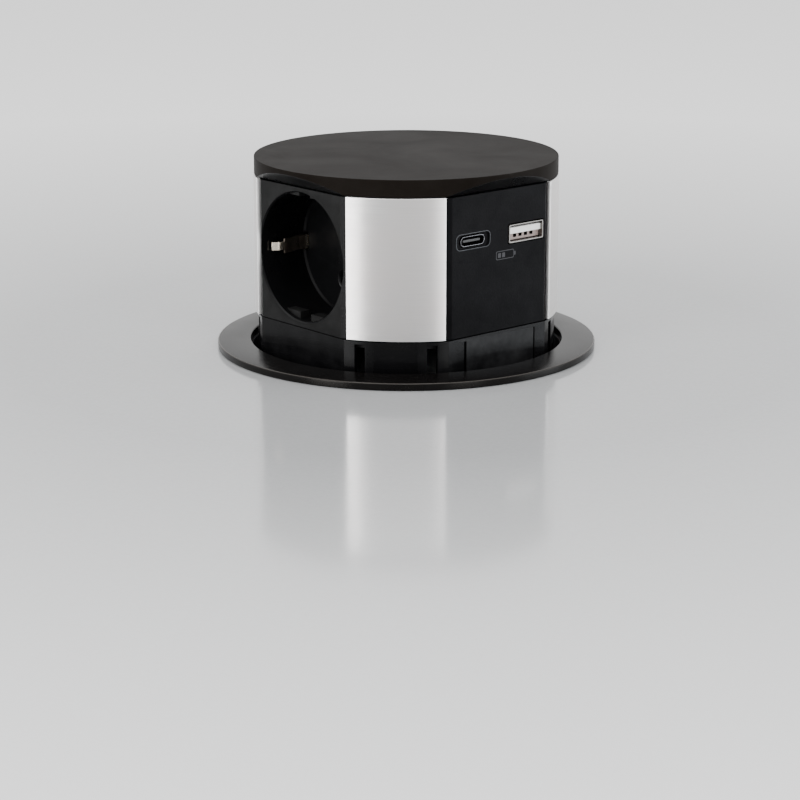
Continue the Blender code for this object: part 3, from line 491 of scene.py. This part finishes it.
# --------------------------------------------------------------------------
# flange and lid
# --------------------------------------------------------------------------
prof = rounded([(49.5, D), (53.8, D), (53.8, D + 0.9), (58.2, D + 0.9), (58.2, D), (60.0, D), (60.0, D + 2.2),
                (49.5, D + 2.6)], [0.15, 0.1, 0.1, 0.1, 0.1, 0.3, 0.45, 0.4], 5)
fl = lathe("t", prof, 256)
finish(fl, "flange_bezel_skin", "flange", "casing", ["flange_bezel"], bevel=0, angle=50)
# the faces of the flange's rounded outer top edge get a lighter brown-grey: painted highlight
fl.data.materials.append(M["flange_painted_highlight"])
for p in fl.data.polygons:
    c = p.center
    if math.hypot(c.x, c.y) > 59.6 * MM and c.z > (D + 2.0) * MM:
        p.material_index = 1

TOP, RIM = D + 60.8, D + 55.5
lid = lathe("t", [(0, TOP), (0, RIM + 2.6), (40.0, RIM + 2.6), (40.0, RIM), (47.7, RIM), (47.7, TOP)], 256)
ws = []
for k in range(4):
    w = prism("t", [(42.6, RIM - 2.0), (49.0, RIM - 2.0), (49.0, RIM + 5.0), (42.6, RIM - 0.15)], -24.0, 24.0)
    place(w, Matrix.Rotation(k * math.pi / 2, 4, "Z") @ Matrix(((1, 0, 0, 0), (0, 0, -1, 0), (0, 1, 0, 0), (0, 0, 0, 1))))
    ws.append(w)
cut(lid, *ws)
finish(lid, "lid_skin", "lid", "tower", ["lid"], bevel=0.22, seg=3, angle=28)
# the underside, spigot and undercut faces below the lid's lip get the darker well black: painted shade
lid.data.materials.append(M["well"])
for p in lid.data.polygons:
    c = p.center
    if c.z < (RIM + 5.2) * MM and math.hypot(c.x, c.y) < 47.4 * MM and p.normal.z < 0.6:
        p.material_index = 1

# --------------------------------------------------------------------------
# silver panels
# --------------------------------------------------------------------------
for n, k in enumerate(range(4)):
    half = math.radians(18.3)
    a = math.radians(45 + 90 * k)
    p = arc(47.9, a - half, a + half, 48) + arc(46.5, a + half, a - half, 48)
    sp = prism("t", p, D + 11.8, RIM - 0.25)
    nm = "silver_panel_%s" % "abcd"[n]
    finish(sp, nm + "_skin", "silver", "tower", [nm], bevel=0.2, seg=3, angle=40)
    sp.data.materials.append(M["edge"])
    mid = Vector((math.cos(a), math.sin(a), 0))
    for q in sp.data.polygons:
        if q.normal.dot(Vector((q.center.x, q.center.y, 0)).normalized()) < 0.9:
            q.material_index = 1
    sp.modifiers["bevel"].material = 1

# --------------------------------------------------------------------------
# skirt band
# --------------------------------------------------------------------------
sk = prism("t", flat_circle(47.0, 42.5, 40), 73.0, D + 11.4)
cat = []
for k in range(4):
    a = math.radians(45 + 90 * k)
    h = math.radians(8)
    cat.append(prism("t", arc(48.9, a - h, a + h, 12) + arc(45.8, a + h, a - h, 12), 74.5, 77.7))
join(sk, *cat)
cs = [prism("t", flat_circle(45.0, 40.5, 40), 72.0, D + 13.0)]
for k in range(4):
    for s in (-1, 1):
        a = math.radians(45 + 90 * k + s * 13.5)
        h = math.radians(1.95)
        cs.append(prism("t", arc(49.0, a - h, a + h, 4) + arc(43.5, a + h, a - h, 4), 80.5, D + 10.3))
cs.append(box(38.0, 44.0, -13.7, -12.9, 80.5, D + 10.3))
cs.append(box(42.0, 44.0, 15.2, 15.6, 80.5, D + 10.3))
cut(sk, *cs)
finish(sk, "skirt_skin", "skirt", "tower", ["skirt"], bevel=0.2, seg=3, angle=25)

# --------------------------------------------------------------------------
# socket inserts
# --------------------------------------------------------------------------
A, HALF = 42.8, 20.5
Z0, Z1, ZW = D + 11.8, D + 55.0, D + 33.5


def plate(side):
    fp = [(-HALF, -A + 0.8), (-HALF + 1.3, -A), (HALF - 1.3, -A), (HALF, -A + 0.8), (HALF, -A + 2.2), (-HALF, -A + 2.2)]
    return prism("t", fp, Z0, Z1)


def turned_y(prof, seg=96):
    """Profile of (radius, y) turned about the socket axis, which lies along Y at height ZW."""
    ob = lathe("t", [(r, y) for r, y in prof], seg)
    return place(ob, Matrix.Translation((0, 0, ZW)) @ Matrix.Rotation(-math.pi / 2, 4, "X"))


for nm, side in (("front", "-Y"), ("back", "+Y"), ("left", "-X")):
    F = face_frame(side)
    s = plate(side)
    cut(s, turned_y([(0, -46.0), (23.2, -46.0), (20.35, -42.75), (20.0, -42.3), (20.0, -38.0), (0, -38.0)]))
    cup = turned_y([(0, -25.3), (19.4, -25.3), (19.95, -25.9), (19.95, -41.4), (21.0, -41.4), (21.0, -24.0), (0, -24.0)])
    for q in (1, -1):
        pin = lathe("t", [(0, -1.0), (3.3, -1.0), (3.3, -0.02), (2.7, 0.5), (2.7, 3.0), (0, 3.0)], 48)
        cut(cup, place(pin, Matrix.Translation((0, -25.3, ZW + q * 9.5)) @ Matrix.Rotation(-math.pi / 2, 4, "X")))
    for q in (1, -1):
        x = sorted((q * 17.9, q * 19.7))
        cut(cup, box(x[0], x[1], -26.3, -23.0, ZW - 2.8, ZW + 2.8))
    join(cup, rod(1.2, (0, -24.5, ZW), "Y", 24.5 - 22.45))
    shells = [cup]
    for q in (1, -1):
        for u in (1, -1):
            top, sweep = (18.5, (24.9, 19.0, 13.0, 7.32)) if q > 0 else (17.6, (29.4, 25.0, 19.0, 13.0, 7.32))
            edge = [(20.4 * math.sin(math.radians(v)), 20.4 * math.cos(math.radians(v))) for v in sweep]
            pts = [(2.6, top), (edge[0][0], top)] + edge
            pts = [(u * a, q * b) for a, b in pts]
            rb = prism("t", pts if q * u > 0 else pts[::-1], 37.4, 40.9)
            shells.append(place(rb, Matrix(((1, 0, 0, 0), (0, 0, -1, 0), (0, 1, 0, ZW), (0, 0, 0, 1)))))
    # plate, cup and shoulders stay closed shells of one mesh
    bm = bmesh.new()
    bm.from_mesh(s.data)
    for o in shells:
        bm.from_mesh(o.data)
        d = o.data
        bpy.data.objects.remove(o, do_unlink=True)
        bpy.data.meshes.remove(d)
    bmesh.ops.recalc_face_normals(bm, faces=bm.faces)
    bm.to_mesh(s.data)
    bm.free()
    place(s, F)
    finish(s, "socket_%s_skin" % nm, "face", "tower", ["socket_" + nm], bevel=0.14, seg=2, angle=30)
    # the well's inner wall and floor are finer than the face, and darker: the darker black is painted shade in the
    # recess
    s.data.materials.append(M["well"])
    out = F @ Vector((0, -1, 0))
    for p in s.data.polygons:
        c = F.inverted() @ p.center
        rad = math.hypot(c.x, c.z - ZW * MM)
        on_guide = c.y < -37.3 * MM and abs(c.z - ZW * MM) > 17.0 * MM and rad < 19.9 * MM
        if rad < 20.2 * MM and c.y > -42.6 * MM and not on_guide:
            p.material_index = 1

    # earth strap: bowed clips on both walls
    mid = [(18.9, -21.75), (18.9, -24.6), (18.2, -25.7), (18.5, -27.5), (18.75, -29.0), (17.7, -32.0), (17.35, -34.2),
           (17.9, -36.6), (18.75, -38.3), (19.1, -39.0)]
    fine = []
    for i in range(len(mid) - 1):
        p0 = Vector(mid[max(i - 1, 0)])
        p1, p2 = Vector(mid[i]), Vector(mid[i + 1])
        p3 = Vector(mid[min(i + 2, len(mid) - 1)])
        for j in range(5):
            t = j / 5
            fine.append(0.5 * ((2 * p1) + (p2 - p0) * t + (2 * p0 - 5 * p1 + 4 * p2 - p3) * t * t
                               + (3 * p1 - p0 - 3 * p2 + p3) * t ** 3))
    fine.append(Vector(mid[-1]))
    t = 0.3
    ro, ri = [], []
    for i, v in enumerate(fine):
        d = (fine[min(i + 1, len(fine) - 1)] - fine[max(i - 1, 0)]).normalized()
        ro.append((v.x - d.y * t, v.y + d.x * t))
        ri.append((v.x + d.y * t, v.y - d.x * t))
    ro[0] = (18.9 + t, -21.4)
    ri[0] = (18.9 - t, -22.05)
    poly = ro + ri[::-1] + [(-x, y) for x, y in ri] + [(-x, y) for x, y in ro[::-1]]
    st = prism("t", poly, ZW - 2.3, ZW + 2.3)
    tip = []
    for q in (1, -1):
        x = sorted((q * 16.0, q * 20.5))
        for v in (1, -1):
            z = sorted((ZW + v * 1.35, ZW + v * 3.0))
            tip.append(box(x[0], x[1], -40.0, -35.4, z[0], z[1]))
    cut(st, *tip)
    place(st, F)
    finish(st, "earth_strap_%s_skin" % nm, "clip", "tower", ["earth_strap_" + nm], bevel=0.12, seg=2, angle=40)
    # the middle of each clip and the upper and lower parts of its tip get a darker metal: painted shade
    st.data.materials.append(M["clip_painted_shade"])
    for p in st.data.polygons:
        c = F.inverted() @ p.center
        if -35.6 * MM < c.y < -26.6 * MM or abs(c.z - ZW * MM) > 1.5 * MM and c.y < -27.4 * MM:
            p.material_index = 1

    # shutter
    pts = [(-3.2, -12.0), (-2.4, -12.6), (2.4, -12.6), (3.2, -12.0)]
    out_pts = arc(12.6, math.radians(-90 - 14), math.radians(-90 + 14), 8)
    hub = arc(4.4, math.radians(-40), math.radians(40), 10)
    top = arc(12.6, math.radians(90 - 14), math.radians(90 + 14), 8)
    hub2 = arc(4.4, math.radians(140), math.radians(220), 10)
    sh = prism("t", out_pts + hub + top + hub2, 22.6, 23.7)
    cut(sh, rod(1.5, (0, 0, 20.0), "Z", 6.0))
    place(sh, F @ Matrix.Translation((0, 0, ZW)) @ Matrix(((1, 0, 0, 0), (0, 0, -1, 0), (0, 1, 0, 0), (0, 0, 0, 1))))
    finish(sh, "shutter_%s_skin" % nm, "shutter", "shutter_" + nm[0], ["shutter_" + nm], bevel=0.15, seg=2)

# --------------------------------------------------------------------------
# charging-port face
# --------------------------------------------------------------------------
UC, UA, UZ = -10.65, 11.1, D + 41.0


def rrect(w, h, r, cx, cz, n=8):
    o = []
    for qx, qz, a in ((1, 1, 0), (-1, 1, 90), (-1, -1, 180), (1, -1, 270)):
        o += arc(r, math.radians(a), math.radians(a + 90), n, cx + qx * (w / 2 - r), cz + qz * (h / 2 - r))
    return o


def yz(pts, x0, x1):
    return place(prism("t", pts, x0, x1), Matrix(((0, 0, 1, 0), (1, 0, 0, 0), (0, 1, 0, 0), (0, 0, 0, 1))))


up = place(plate("+X"), face_frame("+X"))
cut(up, yz(rrect(13.4, 4.5, 1.4, UC, UZ), A - 0.6, 45.0), yz(rrect(10.4, 3.7, 1.75, UC, UZ), 38.0, 45.0),
    yz(rrect(15.0, 6.3, 0.7, UA, UZ), 38.0, 45.0))
finish(up, "usb_face_skin", "usb", "tower", ["usb_face"], bevel=0.12, seg=2, angle=30)

uc = yz(rrect(9.8, 3.1, 1.5, UC, UZ, 12), 33.0, A - 0.3)
cut(uc, yz(rrect(9.3, 2.6, 1.25, UC, UZ, 12), 34.2, 46.0))
finish(uc, "usb_c_shell_skin", "port_dark", "tower", ["usb_c_shell"], bevel=0.1, seg=2, angle=35)
ut = yz(rrect(7.0, 0.8, 0.35, UC, UZ, 6), 34.5, A - 0.9)
finish(ut, "usb_c_tongue_skin", "tongue", "tower", ["usb_c_tongue"], bevel=0.08, seg=2, angle=35)

ua = yz(rrect(14.4, 5.7, 0.6, UA, UZ), 28.0, A + 0.2)
cut(ua, yz(rrect(13.5, 4.8, 0.35, UA, UZ), 29.0, 46.0))
finish(ua, "usb_a_shell_skin", "port_nickel", "tower", ["usb_a_shell"], bevel=0.12, seg=2, angle=35)
PINS = (-3.5, -1.2, 1.1, 3.4)
ub = yz(rrect(13.2, 3.95, 0.3, UA, UZ - 0.225), 29.3, A - 0.5)
cut(ub, box(A - 1.3, A + 1.0, UA - 7.0, UA + 7.0, UZ - 3.0, UZ - 0.15),
    *[yz(rrect(1.3, 1.15, 0.1, UA + q, UZ - 0.85, 2), A - 3.6, A + 1.0) for q in PINS])
finish(ub, "usb_a_tongue_skin", "white", "tower", ["usb_a_tongue"], bevel=0.08, seg=2, angle=35)
ub.data.materials.append(M["tongue"])
ub.data.materials.append(M["pink"])
# faces inside the contact windows get the black tongue material: painted shade in the windows
for p in ub.data.polygons:
    c = p.center
    if c.x < (A - 1.32) * MM and any(abs(c.y - (UA + q) * MM) < 0.7 * MM for q in PINS) and abs(c.z - (UZ - 0.85) * MM) < 0.62 * MM:
        p.material_index = 1
    elif abs(c.x - (A - 1.3) * MM) < 0.05 * MM:
        p.material_index = 2
for i, q in enumerate(PINS):
    c = yz(rrect(0.6, 0.25, 0.08, UA + q, UZ - 1.2, 2), A - 3.9, A - 3.0)
    finish(c, "usb_a_contact_%d" % i, "gold", "tower", (), bevel=0.04, seg=1, angle=35)

# fine raised line around the small port's recess, and the contact line on its tongue
ol = yz(rrect(13.95, 5.05, 1.6, UC, UZ, 12), A - 0.1, A + 0.05)
cut(ol, yz(rrect(13.45, 4.55, 1.4, UC, UZ, 12), A - 0.5, A + 0.5))
finish(ol, "usb_c_outline", "outline", "tower", (), bevel=0.04, seg=2, angle=40)
tl = yz(rrect(5.4, 0.1, 0.04, UC, UZ + 0.34, 3), A - 1.05, A - 0.87)
finish(tl, "usb_c_contacts", "outline", "tower", (), bevel=0)

# printed mark: a plain battery outline with a filling bar
bx, bz, bw, bh, lt = 2.4, D + 35.0, 7.4, 2.7, 0.22
mk = yz(rrect(bw, bh, 0.5, bx, bz, 4), A + 0.005, A + 0.03)
cut(mk, yz(rrect(bw - 2 * lt, bh - 2 * lt, 0.3, bx, bz, 4), A - 0.5, A + 0.5))
finish(mk, "print_battery_outline", "print", "tower", (), bevel=0)
for i in range(2):
    b = yz(rrect(1.2, bh - 1.3, 0.12, bx - 2.3 + i * 1.7, bz, 2), A + 0.005, A + 0.03)
    finish(b, "print_battery_bar_%d" % i, "print", "tower", (), bevel=0)
b = yz(rrect(0.55, 1.2, 0.1, bx + bw / 2 + 0.42, bz, 2), A + 0.005, A + 0.03)
finish(b, "print_battery_tip", "print", "tower", (), bevel=0)

# --------------------------------------------------------------------------
# lift spring
# --------------------------------------------------------------------------
TURNS, SR, SW, SLO, SHI = 5.0, 30.0, 0.7, 3.35, 69.45
STEPS, WS = 360, 12
sv, sf = [], []
for i in range(STEPS + 1):
    u0 = i / STEPS
    ph = 2 * math.pi * TURNS * u0
    e = 0.75 / TURNS
    u = 0.0 if u0 < e else (1.0 if u0 > 1 - e else (u0 - e) / (1 - 2 * e))
    zc = SLO + SW + (SHI - SLO - 2 * SW) * u
    for k in range(WS):
        a = 2 * math.pi * k / WS
        rr = SR + SW * math.cos(a)
        sv.append((rr * math.cos(ph), rr * math.sin(ph), zc + SW * math.sin(a)))
for i in range(STEPS):
    for k in range(WS):
        sf.append([i * WS + k, i * WS + (k + 1) % WS, (i + 1) * WS + (k + 1) % WS, (i + 1) * WS + k])
sf += [list(range(WS)), [STEPS * WS + k for k in range(WS)][::-1]]
sp = raw("t", sv, sf)
finish(sp, "lift_spring_skin", "steel", "casing", ["lift_spring"], bevel=0, angle=60)
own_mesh(sp)

# --------------------------------------------------------------------------
# CAD pieces whose shape is right get their finish
# --------------------------------------------------------------------------
PAINT = {
    "flange_gasket": "rubber", "casing_shell": "case", "casing_base": "case", "latch_bracket": "case",
    "tower_base": "case", "damper_body": "case", "stop_ring": "frame", "guide_rail_front": "frame",
    "guide_rail_back": "frame", "tower_frame": "frame", "base_screw_a": "zinc", "base_screw_b": "zinc",
    "tie_screw_a": "zinc", "tie_screw_b": "zinc", "latch_pin": "steel", "striker_bar": "steel",
    "damper_rack": "acetal", "latch_hook": "acetal", "damper_pinion": "acetal", "clamp_nut": "nut",
    "clamp_washer": "washer", "gland_body": "gland", "gland_nut": "gland", "live_busbar": "brass",
    "neutral_busbar": "brass", "socket_block_front": "cream", "socket_block_back": "cream",
    "socket_block_left": "cream", "usb_board": "pcb", "transformer": "trafo", "capacitor": "cap",
}
for node, mat in PAINT.items():
    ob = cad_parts[node]
    for sl in ob.material_slots:
        sl.material = M[mat]

# --------------------------------------------------------------------------
# stage: pale desk-height floor with a hole for the barrel, lights, camera
# --------------------------------------------------------------------------
fm = Nodes("stage_floor")
fv = fm.noise(900.0, 2.0, 0.5)
near = fm.mix(fm.range(fv, 0.3, 0.7, 0.0, 1.0), rgb(162, 163, 164), rgb(166, 167, 168))
ln = fm.add("ShaderNodeVectorMath", operation="LENGTH")
fm.link(fm.co, ln.inputs[0])
fm.link(fm.mix(fm.range(ln.outputs["Value"], 0.15, 0.5, 0.0, 1.0), near, rgb(252, 252, 252)), fm.b.inputs["Base Color"])
fm.b.inputs["Roughness"].default_value = 0.12
fm.b.inputs["Specular IOR Level"].default_value = 0.9
M["floor"] = fm.m

fz = D - 0.1
seg = 96
fv_, ff_ = [], []
rings = (55.0, 62.0, 90.0, 200.0, 600.0, 3000.0)
for r in rings:
    for i in range(seg):
        a = 2 * math.pi * i / seg
        fv_.append((r * math.cos(a), r * math.sin(a), fz))
for k in range(len(rings) - 1):
    for i in range(seg):
        j = (i + 1) % seg
        ff_.append([k * seg + i, k * seg + j, (k + 1) * seg + j, (k + 1) * seg + i])
fme = bpy.data.meshes.new("stage_floor")
fme.from_pydata([(v[0] * MM, v[1] * MM, v[2] * MM) for v in fv_], [], ff_)
floor = bpy.data.objects.new("stage_floor", fme)
bpy.context.scene.collection.objects.link(floor)
floor.data.materials.append(M["floor"])

world = bpy.data.worlds.new("studio")
bpy.context.scene.world = world
world.use_nodes = True
wt = world.node_tree
bg = wt.nodes["Background"]
wc = wt.nodes.new("ShaderNodeTexCoord").outputs["Generated"]
dot = wt.nodes.new("ShaderNodeVectorMath")
dot.operation = "DOT_PRODUCT"
wt.links.new(wc, dot.inputs[0])
dot.inputs[1].default_value = (0.7536, -0.6574, 0.0)
wr = wt.nodes.new("ShaderNodeMapRange")
wr.interpolation_type = "SMOOTHSTEP"
for k, v in (("From Min", 0.3), ("From Max", 1.0), ("To Min", 1.35), ("To Max", 0.7)):
    wr.inputs[k].default_value = v
wt.links.new(dot.outputs["Value"], wr.inputs["Value"])
wt.links.new(wr.outputs["Result"], bg.inputs["Strength"])
bg.inputs["Color"].default_value = (1.0, 1.0, 1.0, 1.0)


def softbox(name, loc, target, w, h, power, col=(1, 1, 1)):
    l = bpy.data.lights.new(name, "AREA")
    l.shape = "RECTANGLE"
    l.size, l.size_y = w, h
    l.energy = power
    l.color = col
    o = bpy.data.objects.new(name, l)
    bpy.context.scene.collection.objects.link(o)
    o.location = loc
    o.rotation_euler = (Vector(target) - Vector(loc)).to_track_quat("-Z", "Y").to_euler()
    return o


softbox("key_top", (0.0, 0.0, 1.2), (0, 0, 0.1), 1.2, 1.2, 8.0)
softbox("left_strip", (0.05, -0.95, 0.36), (0, 0, 0.11), 0.36, 0.8, 9.0)
softbox("right_strip", (0.93, -0.10, 0.36), (0, 0, 0.11), 0.3, 0.8, 4.0)
softbox("right_low", (0.62, 0.62, 0.22), (0, 0, 0.10), 0.5, 0.35, 3.5, (0.90, 0.95, 1.0))

cam = bpy.data.cameras.new("camera")
cam.lens = 106.32
cam.sensor_width = 36.0
cam.clip_start = 0.01
cam.clip_end = 20.0
co = bpy.data.objects.new("camera", cam)
bpy.context.scene.collection.objects.link(co)
fw = Vector((-0.728205, 0.631718, -0.2658)).normalized()
rt = Vector((0.655477, 0.755215, -0.0009))
rt = (rt - fw * rt.dot(fw)).normalized()
upv = rt.cross(fw)
co.matrix_world = Matrix(((rt.x, upv.x, -fw.x, 0.55276), (rt.y, upv.y, -fw.y, -0.48220), (rt.z, upv.z, -fw.z, 0.26800),
                          (0, 0, 0, 1)))
bpy.context.scene.camera = co

bpy.context.view_layer.update()
